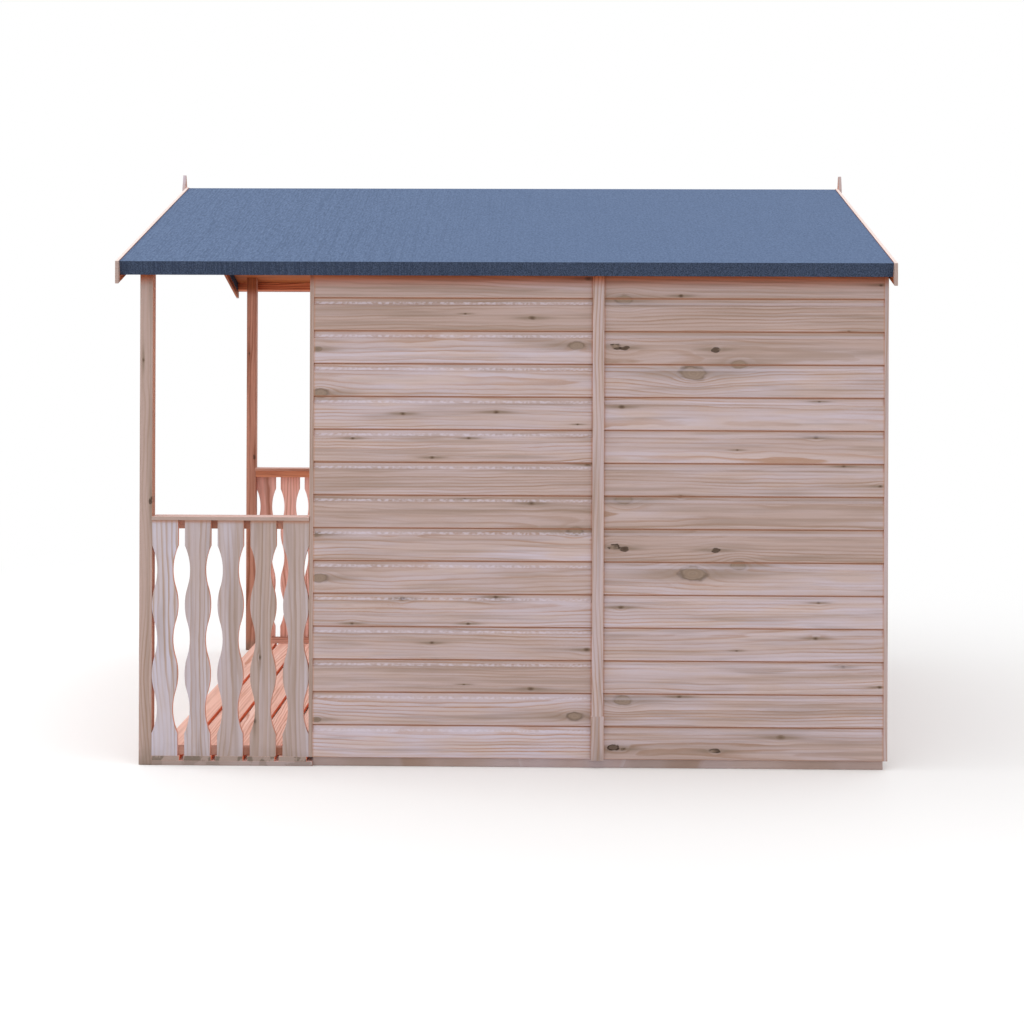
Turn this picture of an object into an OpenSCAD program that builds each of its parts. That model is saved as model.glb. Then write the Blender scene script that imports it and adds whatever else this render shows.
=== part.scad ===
// Timber summerhouse with a roofed veranda across its front.
// +X is the right-hand side, -Y the veranda front, +Z up; the origin is the
// centre of the footprint of the whole building, at ground level.

/* [Body] */
// Width over the side walls and the veranda posts
body_w = 2170; // [1900:10:2600]
// Length of the cabin over its corner strips
cabin_len = 2020; // [1600:10:2800]
// Depth of the veranda, from the posts' front face to the cabin
veranda_len = 597; // [500:1:900]

/* [Roof] */
// Height of the felt at the ridge
ridge_h = 2119; // [2000:1:2300]
// Pitch of both slopes, in degrees
roof_pitch = 17.2; // [12:0.1:21]
// How far the eaves stand out past the side walls
eaves_out = 61; // [50:1:150]
// How far the roof runs out in front of the posts
roof_front_out = 59; // [20:1:150]
// How far the roof runs out behind the rear wall
roof_rear_out = 4; // [0:1:100]
// Thickness of the felt
felt_t = 3; // [2:0.5:5]
// Thickness of the roof boards
roof_board_t = 11; // [9:1:20]
// Width of the eaves rails and of each half of the ridge beam
rail_w = 28; // [20:1:45]
// Depth of the eaves rails and of the ridge beam, square to the slope
rail_d = 35; // [25:1:60]
// Width of the bargeboards, square to the slope
barge_w = 75; // [60:1:120]
// Thickness of the bargeboards
barge_t = 12; // [9:1:20]
// How far the bargeboards stand above the felt
barge_up = 3; // [0:1:10]
// How far the bargeboards run past the edge of the felt
barge_past = 10; // [4:1:30]

/* [Finials] */
// Height of the finials above the ridge
finial_up = 53; // [20:1:90]
// How far the finials hang below the ridge
finial_down = 118; // [90:1:180]
// Width of the finials at the ridge
finial_w = 40; // [30:1:60]
// Width of the finials at their tip
finial_tip_w = 8; // [4:1:20]
// Thickness of the finials
finial_t = 12; // [9:1:20]

/* [Walls] */
// Thickness of the shiplap cladding
clad_t = 12; // [9:1:20]
// Height of the cladding's lower edge above the ground
clad_foot = 32; // [10:1:40]
// Side of the square wall framing
stud = 28; // [20:1:45]
// Width of the corner strips and of the door surround
strip_w = 45; // [35:1:60]
// Thickness of the corner strips and of the door surround
strip_t = 14; // [12:1:20]
// Width of the battens over the panel joints
batten_w = 40; // [30:1:60]
// Thickness of the battens over the panel joints
batten_t = 12; // [9:1:14]
// Height of the foot piece under each side batten
foot_h = 154; // [80:1:250]
// How much wider and lower the foot piece is than its batten
foot_extra = 5; // [0:1:10]

/* [Floor] */
// Height of the cabin's floor bearers
bearer_h = 45; // [30:1:75]
// Width of all the bearers
bearer_w = 45; // [30:1:75]
// Thickness of the cabin's floor boards
floor_t = 12; // [9:1:20]
// Number of cabin floor bearers
bearer_count = 6; // [4:1:8]
// Height of the veranda's flat bearers
deck_bearer_h = 16; // [12:1:28]
// Thickness of the deck boards
deck_t = 17; // [12:1:28]
// Number of deck boards
deck_count = 5; // [3:1:7]
// Gap between the deck boards
deck_gap = 14; // [5:1:20]
// Gap between the last deck board and the cabin
deck_wall_gap = 7; // [3:1:15]

/* [Veranda] */
// Side of the square posts
post = 45; // [35:1:70]
// Height of the handrail's top
handrail_h = 872; // [700:1:1000]
// Width of the handrail
handrail_w = 72; // [60:1:100]
// Thickness of the handrail
handrail_t = 12; // [9:1:25]
// How far the handrail stands out past the posts
handrail_out = 8; // [0:1:20]
// Depth of the balustrade's rails, front to back
baluster_rail_w = 28; // [20:1:29]
// Height of the top rail
top_rail_h = 32; // [20:1:45]
// Height of the bottom rail
bottom_rail_h = 28; // [20:1:45]
// Thickness of the wavy balusters
baluster_t = 16; // [12:1:16]
// Number of balusters on each side
baluster_count = 5; // [3:1:6]
// Gap between two balusters where they are widest
baluster_gap = 24; // [15:1:40]
// Depth of each hollow in a baluster's edge
wave_depth = 18.5; // [8:0.5:25]
// Height between two hollows
wave_pitch = 244; // [180:1:260]
// How far the middle hollow lies below the balusters' middle
wave_drop = 6; // [0:1:15]

/* [Doors and windows] */
// Width of the pair of doors
doors_w = 1160; // [900:10:1300]
// Height of the doors
door_h = 1660; // [1500:10:1700]
// Gap around and between the door leaves
door_gap = 3; // [2:1:6]
// Thickness of the door leaves
door_t = 28; // [20:1:40]
// How far the frame laps behind the doors as a stop
door_stop = 14; // [8:1:25]
// Width of the door stiles and top rails
stile_w = 70; // [50:1:100]
// Height of the door panel below the glass
door_panel_h = 800; // [500:10:1000]
// Width of the opening for each fixed window
window_w = 250; // [150:10:260]
// Height of the opening for each fixed window
window_h = 720; // [400:10:900]
// Width of the window frames
frame_w = 28; // [20:1:40]
// Thickness of the glass
glass_t = 4; // [3:1:6]

/* [Hidden] */
$fn = 64;

// Colours of the finishes.
pine = [0.76, 0.64, 0.57];
shaded_pine = [0.74, 0.50, 0.38];
deck_pine = [0.86, 0.66, 0.54];
felt_blue = [0.34, 0.41, 0.52];
pane_grey = [0.75, 0.82, 0.84, 0.4];

// Places along the building, from the veranda at the front to the rear.
verge_t = barge_t + finial_t;
y_min = -(veranda_len + cabin_len + roof_front_out + roof_rear_out + 2 * verge_t) / 2;
y_barge_front = y_min + finial_t;
y_roof_front = y_min + verge_t;
y_post = y_roof_front + roof_front_out;
y_deck = y_post + post;
y_wall = y_post + veranda_len;
y_clad_front = y_wall + strip_t;
y_clad_face = y_clad_front - clad_t;
y_rear = y_wall + cabin_len;
y_clad_rear = y_rear - strip_t;
y_roof_rear = y_rear + roof_rear_out;
y_mid = (y_clad_front + y_clad_rear) / 2;

// Places across it.
x_out = body_w / 2;
x_clad = x_out - clad_t;
x_stud = x_clad - stud;
x_eaves = x_out + eaves_out;
slope_len = x_eaves / cos(roof_pitch);

// Heights.
deck_top = deck_bearer_h + deck_t;
floor_top = bearer_h + floor_t;
edge_t = felt_t + roof_board_t + rail_d;
under_boards = felt_t + roof_board_t;
function roof_z(x, depth) = ridge_h - abs(x) * tan(roof_pitch) - depth / cos(roof_pitch);
handrail_under = handrail_h - handrail_t;
door_foot = floor_top + door_gap;
door_head = door_foot + door_h;
door_x = doors_w / 2 + door_gap;
door_lintel = door_head + door_gap;
window_foot = door_head - stile_w - window_h;
x_window = (door_x + x_out) / 2;

// A point of the roof's right slope, along it from the ridge and square below the felt's top.
function slope_point(along, depth) = [
    along * cos(roof_pitch) - depth * sin(roof_pitch),
    ridge_h - along * sin(roof_pitch) - depth * cos(roof_pitch)];

// Draws an outline of the XZ plane and gives it thickness along Y.
module along_y(y0, y1) {
    translate([0, y1, 0]) rotate([90, 0, 0]) linear_extrude(y1 - y0) children();
}

// A box between two corners.
module block(low, high) { translate(low) cube(high - low); }

// Mirrors its children to the left-hand side where side is -1.
module on_side(side) { if (side > 0) children(); else mirror([1, 0, 0]) children(); }

module both_sides() { for (side = [-1, 1]) on_side(side) children(); }

// The same for an outline of the XZ plane.
module both_sides_flat() { children(); mirror([1, 0]) children(); }

// Outline of one layer of the right slope, mitred at the ridge.
module slope_layer(top, bottom, to) {
    polygon([[0, roof_z(0, top)], slope_point(to, top),
        slope_point(to, bottom), [0, roof_z(0, bottom)]]);
}

// Upright outline between two places across, cut off at a depth below the felt.
module up_to_roof(x0, x1, foot, depth = under_boards) {
    ridge = x0 < 0 && x1 > 0 ? [[0, roof_z(0, depth)]] : [];
    polygon(concat([[x0, foot], [x0, roof_z(x0, depth)]], ridge,
        [[x1, roof_z(x1, depth)], [x1, foot]]));
}

// ---- Floor and deck ----

module cabin_bearers() {
    step = (2 * x_clad - bearer_w) / (bearer_count - 1);
    color(pine) for (i = [0 : bearer_count - 1])
        translate([-x_clad + i * step, y_clad_front, 0])
            cube([bearer_w, y_clad_rear - y_clad_front, bearer_h]);
}

module cabin_floor() {
    color(pine) block([-x_clad, y_clad_front, bearer_h], [x_clad, y_clad_rear, floor_top]);
}

module veranda_bearers() {
    step = (2 * x_out - bearer_w) / (bearer_count - 1);
    color(shaded_pine) for (i = [0 : bearer_count - 1])
        translate([-x_out + i * step, y_deck, 0])
            cube([bearer_w, y_clad_front - y_deck, deck_bearer_h]);
}

module deck_boards() {
    boards = y_wall - y_deck - (deck_count - 1) * deck_gap - deck_wall_gap;
    board = boards / deck_count;
    color(deck_pine) for (i = [0 : deck_count - 1])
        translate([-x_out, y_deck + i * (board + deck_gap), deck_bearer_h])
            cube([2 * x_out, board, deck_t]);
}

// ---- Walls ----

// Half of a side wall's cladding.
module side_cladding(y0, y1) {
    color(pine) along_y(y0, y1) up_to_roof(x_clad, x_out, clad_foot);
}

module side_panel_right_front() { side_cladding(y_clad_front, y_mid); }
module side_panel_right_rear() { side_cladding(y_mid, y_clad_rear); }
module side_panel_left_front() { on_side(-1) side_cladding(y_clad_front, y_mid); }
module side_panel_left_rear() { on_side(-1) side_cladding(y_mid, y_clad_rear); }

// The battens over the joints of the side panels, and the wider pieces at their feet.
module side_battens() {
    color(pine) both_sides() along_y(y_mid - batten_w / 2, y_mid + batten_w / 2)
        up_to_roof(x_out, x_out + batten_t, clad_foot - foot_extra / 2 + foot_h);
}

module batten_feet() {
    wide = batten_w + foot_extra;
    foot = clad_foot - foot_extra / 2;
    color(pine) both_sides()
        block([x_out, y_mid - wide / 2, foot], [x_out + batten_t, y_mid + wide / 2, foot + foot_h]);
}

// Studs and rails inside a side wall.
module side_framing() {
    y0 = y_clad_front + stud;
    y1 = y_clad_rear - stud;
    top = roof_z(x_clad, under_boards);
    color(shaded_pine) {
        for (y = [y0, (y0 + y_mid - stud) / 2, y_mid - stud, y_mid, (y1 + y_mid - stud) / 2, y1 - stud])
            along_y(y, y + stud) up_to_roof(x_stud, x_clad, floor_top);
        for (z = [floor_top, (floor_top + top) / 2, top - stud])
            block([x_stud, y0, z], [x_clad, y1, z + stud]);
    }
}

module side_framing_right() { side_framing(); }
module side_framing_left() { on_side(-1) side_framing(); }

// Half of the rear gable's cladding.
module rear_cladding() {
    color(pine) along_y(y_clad_rear, y_clad_rear + clad_t) up_to_roof(0, x_out - strip_w, clad_foot);
}

module rear_panel_right() { rear_cladding(); }
module rear_panel_left() { on_side(-1) rear_cladding(); }

// The batten over the rear joint stops under the bargeboards.
module rear_batten() {
    color(pine) along_y(y_clad_rear + clad_t, y_clad_rear + clad_t + batten_t)
        up_to_roof(-batten_w / 2, batten_w / 2, clad_foot, barge_w - barge_up);
}

// Frame of a gable wall: studs at the places given, rails under both slopes, and
// level rails, each given by its height and by where it starts across the wall.
module gable_framing(y0, studs, rails) {
    under_slopes = [[-x_clad, under_boards], [0, under_boards], [x_clad, under_boards],
        [x_clad, under_boards + stud], [0, under_boards + stud], [-x_clad, under_boards + stud]];
    color(shaded_pine) {
        along_y(y0, y0 + stud)
            polygon([for (corner = under_slopes) [corner.x, roof_z(corner.x, corner.y)]]);
        both_sides() {
            for (x = studs) along_y(y0, y0 + stud)
                up_to_roof(x, x + stud, floor_top, under_boards + stud / 2);
            for (rail = rails) block([rail.y, y0, rail.x], [x_clad, y0 + stud, rail.x + stud]);
        }
    }
}

module rear_framing() {
    mid = (floor_top + roof_z(x_clad, under_boards)) / 2;
    gable_framing(y_clad_rear - stud, [-stud / 2, (x_clad - stud) / 2, x_clad - stud],
        [[floor_top, -stud / 2], [mid, -stud / 2]]);
}

module front_framing() {
    jamb = door_x - door_stop;
    gable_framing(y_clad_front, [jamb, x_clad - stud],
        [[floor_top, jamb], [window_foot - stud, jamb], [door_lintel - door_stop, -stud / 2]]);
}

// The front wall's cladding beside the doors, with its window cut through.
module front_cladding() {
    color(pine) difference() {
        along_y(y_clad_face, y_clad_front) up_to_roof(door_x, x_out - strip_w, clad_foot);
        translate([x_window, y_clad_front, window_foot + window_h / 2])
            cube([window_w, 3 * clad_t, window_h], center = true);
    }
}

module front_panel_right() { front_cladding(); }
module front_panel_left() { on_side(-1) front_cladding(); }

module front_gable() {
    color(pine) along_y(y_clad_face, y_clad_front) up_to_roof(-door_x, door_x, door_lintel);
}

module corner_strips_front() {
    color(pine) both_sides() along_y(y_wall, y_clad_front)
        up_to_roof(x_out - strip_w, x_out, clad_foot);
}

module corner_strips_rear() {
    color(pine) both_sides() along_y(y_clad_rear, y_rear)
        up_to_roof(x_out - strip_w, x_out, clad_foot);
}

// ---- Doors and windows ----

// Strips round the doorway, over the ends of the cladding.
module door_surround() {
    edge = door_x + strip_w;
    color(pine) along_y(y_clad_face - strip_t, y_clad_face) difference() {
        translate([-edge, deck_top]) square([2 * edge, door_lintel + strip_w - deck_top]);
        translate([-door_x, deck_top - 1]) square([2 * door_x, door_lintel - deck_top + 1]);
    }
}

// The board under the doors, across the ends of the floor bearers.
module door_sill() {
    color(pine) block([-door_x, y_clad_face, clad_foot], [door_x, y_clad_front, floor_top]);
}

// One door leaf, shut against the framing.
module door_leaf() {
    leaf_in = door_gap / 2;
    leaf_out = doors_w / 2;
    color(pine) difference() {
        block([leaf_in, y_clad_front - door_t, door_foot], [leaf_out, y_clad_front, door_head]);
        block([leaf_in + stile_w, y_clad_front - door_t - 1, door_foot + door_panel_h],
            [leaf_out - stile_w, y_clad_front + 1, door_head - stile_w]);
    }
}

module door_right() { door_leaf(); }
module door_left() { on_side(-1) door_leaf(); }

module door_glass() {
    mid = y_clad_front - door_t / 2;
    color(pane_grey) both_sides()
        block([door_gap / 2 + stile_w, mid - glass_t / 2, door_foot + door_panel_h],
            [doors_w / 2 - stile_w, mid + glass_t / 2, door_head - stile_w]);
}

module window_frame() {
    color(pine) difference() {
        block([x_window - window_w / 2, y_wall, window_foot],
            [x_window + window_w / 2, y_clad_front + stud, window_foot + window_h]);
        block([x_window - window_w / 2 + frame_w, y_wall - 1, window_foot + frame_w],
            [x_window + window_w / 2 - frame_w, y_clad_front + stud + 1, window_foot + window_h - frame_w]);
    }
}

module window_frame_right() { window_frame(); }
module window_frame_left() { on_side(-1) window_frame(); }

module window_glass() {
    color(pane_grey) both_sides()
        block([x_window - window_w / 2 + frame_w, y_clad_front, window_foot + frame_w],
            [x_window + window_w / 2 - frame_w, y_clad_front + glass_t, window_foot + window_h - frame_w]);
}

// ---- Veranda ----

module veranda_post() {
    color(pine) along_y(y_post, y_deck) up_to_roof(x_out - post, x_out, 0);
}

module veranda_post_right() { veranda_post(); }
module veranda_post_left() { on_side(-1) veranda_post(); }

module handrails() {
    color(pine) both_sides()
        block([x_out + handrail_out - handrail_w, y_deck, handrail_under],
            [x_out + handrail_out, y_wall, handrail_h]);
}

// A rail behind the balusters.
module baluster_rail(foot, height) {
    color(shaded_pine) both_sides()
        block([x_out - baluster_t - baluster_rail_w, y_deck, foot],
            [x_out - baluster_t, y_wall, foot + height]);
}

module top_rails() { baluster_rail(handrail_under - top_rail_h, top_rail_h); }
module bottom_rails() { baluster_rail(deck_top, bottom_rail_h); }

// The wavy edge: arcs of one radius swing in and out by the depth of a hollow.
quarter = wave_pitch / 4;
wave_r = (pow(quarter, 2) + pow(wave_depth / 2, 2)) / wave_depth;
baluster_mid = (deck_top + handrail_under) / 2 - wave_drop;
function hollow(z) = wave_depth - wave_r + sqrt(pow(wave_r, 2) - pow(z, 2));
end_reach = sqrt(pow(wave_r, 2) - pow(wave_r - wave_depth, 2));
function edge_in(z) =
    let (a = abs(z), n = round(a / (wave_pitch / 2)), off = a - n * wave_pitch / 2)
    a > wave_pitch + end_reach ? 0
    : a >= wave_pitch ? hollow(a - wave_pitch)
    : n % 2 == 0 ? hollow(off)
    : wave_depth - hollow(off);
wave_steps = 48;
wave_span = wave_pitch + end_reach;
edge_line = [for (i = [0 : wave_steps]) let (z = -wave_span + 2 * wave_span * i / wave_steps)
    [edge_in(z), baluster_mid + z]];

module baluster(width) {
    right = [for (p = edge_line) [width - p.x, p.y]];
    left = [for (i = [len(edge_line) - 1 : -1 : 0]) edge_line[i]];
    translate([x_out - baluster_t, 0, 0]) rotate([90, 0, 90]) linear_extrude(baluster_t)
        polygon(concat([[width, deck_top]], right, [[width, handrail_under], [0, handrail_under]],
            left, [[0, deck_top]]));
}

module balusters() {
    run = y_wall - y_deck;
    width = (run - (baluster_count - 1) * baluster_gap) / baluster_count;
    color(pine) for (i = [0 : baluster_count - 1])
        translate([0, y_deck + i * (width + baluster_gap), 0]) baluster(width);
}

module balusters_right() { balusters(); }
module balusters_left() { on_side(-1) balusters(); }

// ---- Roof ----

module eaves_rails() {
    color(shaded_pine) both_sides() along_y(y_roof_front + felt_t, y_roof_rear - felt_t)
        polygon([slope_point(slope_len - felt_t - rail_w, under_boards),
            slope_point(slope_len - felt_t, under_boards),
            slope_point(slope_len - felt_t, edge_t),
            slope_point(slope_len - felt_t - rail_w, edge_t)]);
}

// The beam under the ridge, in one length over the veranda and one in the cabin.
module ridge_beam() {
    half = [slope_point(rail_w, under_boards), slope_point(rail_w, edge_t)];
    color(shaded_pine)
        for (run = [[y_roof_front + felt_t, y_clad_face], [y_clad_front + stud, y_clad_rear - stud]])
            along_y(run.x, run.y) polygon([[0, roof_z(0, under_boards)], half[0], half[1],
                [0, roof_z(0, edge_t)], [-half[1].x, half[1].y], [-half[0].x, half[0].y]]);
}

module roof_boards() {
    color(shaded_pine) along_y(y_roof_front + felt_t, y_roof_rear - felt_t)
        slope_layer(felt_t, under_boards, slope_len - felt_t);
}

module roof_boards_right() { roof_boards(); }
module roof_boards_left() { on_side(-1) roof_boards(); }

// One sheet over both slopes, turned down over the eaves and behind the bargeboards.
module roofing_felt() {
    color(felt_blue) {
        along_y(y_roof_front, y_roof_rear) both_sides_flat() {
            slope_layer(0, felt_t, slope_len);
            polygon([slope_point(slope_len - felt_t, 0), slope_point(slope_len, 0),
                slope_point(slope_len, edge_t), slope_point(slope_len - felt_t, edge_t)]);
        }
        for (y = [y_roof_front, y_roof_rear - felt_t])
            along_y(y, y + felt_t) both_sides_flat() slope_layer(0, edge_t, slope_len);
    }
}

// A front and a rear bargeboard, plumb at the ridge and at the eaves.
module bargeboards() {
    x_end = x_eaves + barge_past;
    color(pine) for (y = [y_barge_front, y_roof_rear]) along_y(y, y + barge_t)
        polygon([for (corner = [[0, -barge_up], [x_end, -barge_up],
                [x_end, barge_w - barge_up], [0, barge_w - barge_up]])
            [corner.x, roof_z(corner.x, corner.y)]]);
}

module bargeboards_right() { bargeboards(); }
module bargeboards_left() { on_side(-1) bargeboards(); }

// Spear-shaped boards over the bargeboards' joints.
module finials() {
    half = finial_w / 2;
    tip = finial_tip_w / 2;
    color(pine) for (y = [y_min, -y_min - finial_t]) along_y(y, y + finial_t)
        polygon([[-tip, ridge_h + finial_up], [-half, ridge_h], [-half, ridge_h - finial_down + half],
            [0, ridge_h - finial_down], [half, ridge_h - finial_down + half],
            [half, ridge_h], [tip, ridge_h + finial_up]]);
}

cabin_bearers();
cabin_floor();
veranda_bearers();
deck_boards();
side_panel_right_front();
side_panel_right_rear();
side_panel_left_front();
side_panel_left_rear();
side_battens();
batten_feet();
side_framing_right();
side_framing_left();
rear_panel_left();
rear_panel_right();
rear_batten();
rear_framing();
front_panel_left();
front_panel_right();
front_gable();
front_framing();
door_surround();
door_sill();
door_left();
door_right();
door_glass();
window_frame_left();
window_frame_right();
window_glass();
corner_strips_front();
corner_strips_rear();
veranda_post_left();
veranda_post_right();
handrails();
top_rails();
bottom_rails();
balusters_left();
balusters_right();
eaves_rails();
ridge_beam();
roof_boards_left();
roof_boards_right();
roofing_felt();
bargeboards_left();
bargeboards_right();
finials();
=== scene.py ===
"""A timber summerhouse with a roofed veranda, finished in sawn pine, felt and glass.

This file lays the shiplap, the matched boards, the door joinery and the ironmongery
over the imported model, and gives every piece its finish. Lengths are in metres, and
places come from the model's boxes.
"""
import math
import random

import bmesh
import bpy
from mathutils import Matrix, Vector


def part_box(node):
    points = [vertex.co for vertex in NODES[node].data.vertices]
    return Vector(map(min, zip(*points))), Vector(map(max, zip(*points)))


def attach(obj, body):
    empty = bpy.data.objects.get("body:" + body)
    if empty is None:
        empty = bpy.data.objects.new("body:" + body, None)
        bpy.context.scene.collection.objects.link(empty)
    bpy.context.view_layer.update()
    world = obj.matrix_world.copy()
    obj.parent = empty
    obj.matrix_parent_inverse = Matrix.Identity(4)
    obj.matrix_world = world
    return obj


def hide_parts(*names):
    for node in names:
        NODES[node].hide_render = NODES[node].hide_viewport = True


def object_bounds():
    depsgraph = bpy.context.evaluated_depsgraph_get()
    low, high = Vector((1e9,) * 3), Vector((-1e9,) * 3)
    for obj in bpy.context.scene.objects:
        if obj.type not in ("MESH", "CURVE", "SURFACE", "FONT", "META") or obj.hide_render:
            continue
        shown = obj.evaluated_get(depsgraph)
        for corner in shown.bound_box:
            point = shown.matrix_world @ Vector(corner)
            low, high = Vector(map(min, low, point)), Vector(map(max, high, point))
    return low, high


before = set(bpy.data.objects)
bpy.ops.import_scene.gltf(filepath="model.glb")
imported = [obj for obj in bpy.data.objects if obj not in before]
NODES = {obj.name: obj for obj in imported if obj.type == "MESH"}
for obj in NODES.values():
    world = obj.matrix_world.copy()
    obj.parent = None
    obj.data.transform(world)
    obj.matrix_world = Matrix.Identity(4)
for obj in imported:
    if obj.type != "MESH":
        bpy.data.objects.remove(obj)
CAD_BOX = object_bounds()

X = Vector((1, 0, 0))
Y = Vector((0, 1, 0))
Z = Vector((0, 0, 1))
SIDES = {"right": 1, "left": -1}

# The roof's slope, from a bargeboard's upper corners, and the underside of its boards.
BARGE = [vert.co for vert in NODES["bargeboards_right"].data.vertices]
BARGE_TOP = max(BARGE, key=lambda place: place.z)
BARGE_TIP = max(BARGE, key=lambda place: (round(place.x, 4), place.z))
ROOF_SLOPE = (BARGE_TOP.z - BARGE_TIP.z) / (BARGE_TIP.x - BARGE_TOP.x)
UNDER_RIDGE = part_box("rear_panel_right")[1].z

# Shiplap: each board laps the next, with a cove and a narrow slot at its upper edge.
BOARD_PITCH = 0.115
COVE_HEIGHT = 0.028
COVE_RISE = 0.014
COVE_DEPTH = 0.0055
COVE_STEPS = 6
SLOT_HEIGHT = 0.0032
SLOT_DEPTH = 0.0078
FOOT_ARRIS = 0.0022
# Heights on a board over which its painted cove highlight and its two painted shades come and go.
HIGHLIGHT_FROM = (0.0905, 0.0925)
HIGHLIGHT_TO = (0.0985, 0.1015)
SLOT_SHADE = (0.1085, BOARD_PITCH - SLOT_HEIGHT)
FOOT_SHADE = (0.0005, 0.0035)
# Depths under the roof boards over which their warm shade fades out.
EAVES_ON_BOARDS = (0.045, 0.1)
EAVES_ON_MEMBERS = (0.045, 0.095)

# Matched boards of the roof, the floor and the doors.
ROOF_BOARD = 0.096
ROOF_KNOTS_REACH = 2.6
FLOOR_BOARD = 0.094
FLOOR_GAP = 0.0015
DOOR_BOARD = 0.088
DOOR_GAP = 0.0022
DOOR_GROOVE = 0.0035
V_JOINT = 0.0025

# Pitches of boards that share a node.
BALUSTER_PITCH = 0.11525
DECK_PITCH = 0.1119

# Joinery of the doors and windows.
STILE = 0.07
BOTTOM_RAIL = 0.11
LOCK_RAIL = 0.09
PANEL_SETBACK = 0.008
PANEL_THICKNESS = 0.012
BAR_WIDTH = 0.018
BAR_DEPTH = 0.016
BAR_ARRIS = 0.003
WINDOW_BAR_DEPTH = BAR_DEPTH * 0.6
BEAD = 0.008
ARRIS = 0.0012
STRIP = 0.045
WINDOW_FRAME = 0.028
COVER_STRIP = (0.03, 0.008)
COVER_ARRIS = 0.002
COVER_ON_DOOR = 0.6

# How far in from the edge of the felt a bargeboard's end is left out of its painted shade.
EAVES_END = 0.012

# Easing of edges, and the angle under which one is shaded smooth.
WELD_REACH = 0.00005
EASED_ABOVE = math.radians(40)
SMOOTH_BELOW = 0.6

# Hinges: three a door, each a leaf, a knuckle and a strap with their screws.
STRAP_LENGTH = 0.19
STRAP_ROOT = 0.017
STRAP_TIP = 0.009
STRAP_SCREWS = (0.03, 0.095, 0.165)
LEAF_WIDTH = 0.027
LEAF_HEIGHT = 0.092
LEAF_GAP = 0.004
LEAF_SCREWS = (-0.034, 0.0, 0.034)
IRON = 0.0025
KNUCKLE = 0.0048
KNUCKLE_LENGTH = 0.06
KNUCKLE_OUT = 0.0015
KNUCKLE_PROUD = 0.001
HINGE_HEIGHTS = (0.056, 0.755, 1.625)

# Turned shapes, as (radius, height) points, and the rest of the handle.
SCREW = 0.0042
SCREW_DOME = [(SCREW, 0.0), (SCREW * 0.85, 0.0006), (SCREW * 0.45, 0.0011), (0, 0.0013)]
SCREW_STEPS = 12
HANDLE_HEIGHT = 0.98
HANDLE_PLATE = (0.034, 0.152)
PLATE_IRON = 0.003
PLATE_STEPS = 16
LEVER_UP = 0.03
LEVER_REACH = 0.04
LEVER_SUNK = 0.003
LEVER_LENGTH = 0.098
LEVER_NECK = [
    (0.011, PLATE_IRON), (0.01, 0.006), (0.0068, 0.009), (0.0062, LEVER_REACH),
    (0.004, LEVER_REACH + 0.004), (0, LEVER_REACH + 0.005),
]
LEVER = [
    (0, -0.01), (0.005, -0.008), (0.0064, 0.0), (0.0058, LEVER_LENGTH * 0.5),
    (0.0066, LEVER_LENGTH * 0.9), (0.0048, LEVER_LENGTH * 0.98), (0, LEVER_LENGTH),
]
KEY_DOWN = 0.034
KEY_ROSE = [(0.0095, PLATE_IRON), (0.0085, 0.0042), (0.004, 0.0042), (0.0036, 0.003), (0, 0.003)]

# Larger knots of the side cladding: along each half, up from the ground, and half the
# knot's length. A dead knot, which is black and cracked, has DEAD added to its size.
DEAD = 1.0
KNOTS_FRONT = [
    (0.024, 1.307, 0.03), (0.012, 1.46, 0.018), (0.313, 1.236, 0.013), (0.137, 1.149, 0.01),
    (0.417, 1.083, 0.011), (0.53, 1.586, 0.007), (0.764, 1.572, 0.014), (0.918, 1.477, 0.03),
    (0.64, 1.243, 0.013), (0.924, 1.201, 0.006), (0.544, 1.151, 0.01), (0.959, 1.062, 0.014),
]
KNOTS_REAR = [
    (0.089, 1.638, 0.033), (0.287, 1.651, 0.012), (0.058, 1.474, 1.02), (0.094, 1.468, 1.014),
    (0.409, 1.464, 1.016), (0.332, 1.382, 0.05), (0.491, 1.411, 0.03), (0.081, 1.263, 0.014),
    (0.485, 1.114, 0.007), (0.639, 1.513, 0.016), (0.871, 1.528, 0.009), (0.77, 1.283, 0.009),
    (0.759, 1.159, 0.012), (0.856, 1.059, 0.011), (0.982, 0.99, 0.01),
]
# How brown each row of side cladding is, from the ground up.
TONES_FRONT = [0.1, 0.35, 0.75, 0.45, 0.4, 0.55, 0.55, 0.9, 0.8, 0.5, 0.5, 0.4, 0.4, 0.95, 0.85]
TONES_REAR = [0.6, 0.55, 0.4, 0.45, 0.45, 0.4, 0.95, 0.75, 0.8, 0.35, 0.55, 0.45, 1.0, 0.85, 0.95]
# For each half: its knots, the height at which they repeat, and its tones.
SIDE_BOARDS = {"front": (KNOTS_FRONT, 0.648, TONES_FRONT), "rear": (KNOTS_REAR, 0.7, TONES_REAR)}
TONE_SPREAD = 0.1

# Knots of other timber: along and across from its lowest corner, and size.
POST_KNOTS = [(0.928, 0.04, 1.013), (1.42, 0.012, 0.01)]
BALUSTER_KNOTS = [(0.347, 0.381, 0.01), (0.123, 0.363, 0.013)]
RANDOM_KNOTS = (0.007, 0.01, 0.013, 0.026)
NO_KNOT = (-9.0, 0.0, 0.01)
KNOTS_A_BOARD = 4

# Gable walls: most rows, and half the length of their boards.
MOST_ROWS = 20
WALL_REACH = 1.1

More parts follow.
